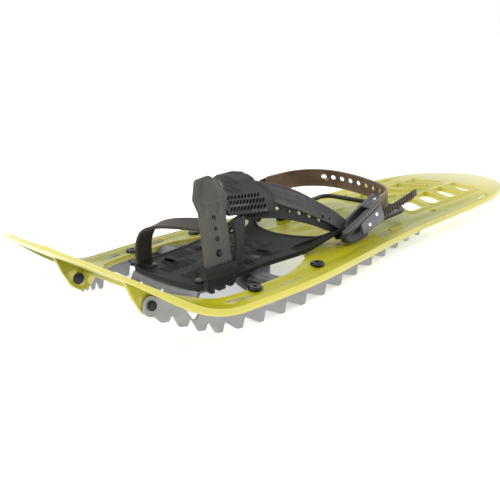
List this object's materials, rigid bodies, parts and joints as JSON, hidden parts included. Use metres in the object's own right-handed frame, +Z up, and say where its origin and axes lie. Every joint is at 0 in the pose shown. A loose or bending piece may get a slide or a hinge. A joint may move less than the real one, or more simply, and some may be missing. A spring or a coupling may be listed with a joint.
{
  "type": "snowshoe",
  "caption": "Left snowshoe: lime plastic deck with lattice tail, toothed steel edge rails, hinged strap binding with ratchet buckle and wire heel lifter.",
  "frame": {"origin": "middle of the bounding box, on the ground that the rail teeth touch", "axes": "+X to the wearer's left (buckle side), +Y from nose to tail, +Z up"},
  "size_m": [0.2028, 0.639, 0.1127],
  "materials": {
    "deck_plastic": "satin moulded lime green",
    "rail_steel": "grey powder coat",
    "steel": "satin plated steel",
    "dark_metal": "black oxide",
    "black_plastic": "moulded, matte",
    "strap_tpu": "satin, slightly translucent",
    "buckle_grey": "satin dark grey",
    "chrome": "bright rivet heads"
  },
  "bodies": {
    "frame": {"deck": "deck_plastic", "rail_left": "rail_steel", "rail_right": "rail_steel", "rail_rivets": "dark_metal", "pivot_bracket_left": "steel", "pivot_bracket_right": "steel", "deck_bolts": "dark_metal", "deck_nuts": "dark_metal", "pivot_axle": "steel", "lifter_clips": "black_plastic"},
    "lifter": {"heel_lifter": "dark_metal"},
    "binding": {"crampon": "steel", "footbed": "black_plastic", "binding_rivets": "dark_metal", "front_strap": "strap_tpu", "strap_peg": "dark_metal", "strap_anchor": "buckle_grey", "strap_keeper": "black_plastic", "toe_strap": "strap_tpu", "instep_pad": "black_plastic", "pad_feet": "black_plastic", "side_arm_left": "black_plastic", "side_arm_right": "black_plastic", "perforated_strap": "strap_tpu", "joint_bolts": "dark_metal"},
    "heel_loop": {"heel_strap": "strap_tpu", "heel_link": "black_plastic", "buckle_base": "buckle_grey", "joint_cover": "black_plastic", "lever_pin": "dark_metal", "buckle_rivets": "chrome", "strap_tail": "strap_tpu"},
    "lever": {"buckle_lever": "black_plastic"}
  },
  "joints": [
    {"name": "binding_pivot", "type": "hinge", "parent": "frame", "child": "binding", "pos_m": [0, -0.138, 0.0135], "axis": [1, 0, 0], "range_deg": [0, 45]},
    {"name": "heel_swing", "type": "hinge", "parent": "binding", "child": "heel_loop", "pos_m": [0, -0.03, 0.0315], "axis": [1, 0, 0], "range_deg": [0, 15]},
    {"name": "buckle_release", "type": "hinge", "parent": "heel_loop", "child": "lever", "pos_m": [0.0674, 0.00749, 0.0566], "axis": [0, -0.3584, 0.9336], "range_deg": [0, 75], "stiffness_Nm_per_rad": 0.05},
    {"name": "lifter_raise", "type": "hinge", "parent": "frame", "child": "lifter", "pos_m": [0, 0, 0.031], "axis": [1, 0, 0], "range_deg": [0, 100], "deforming": ["heel_strap"]}
  ]
}
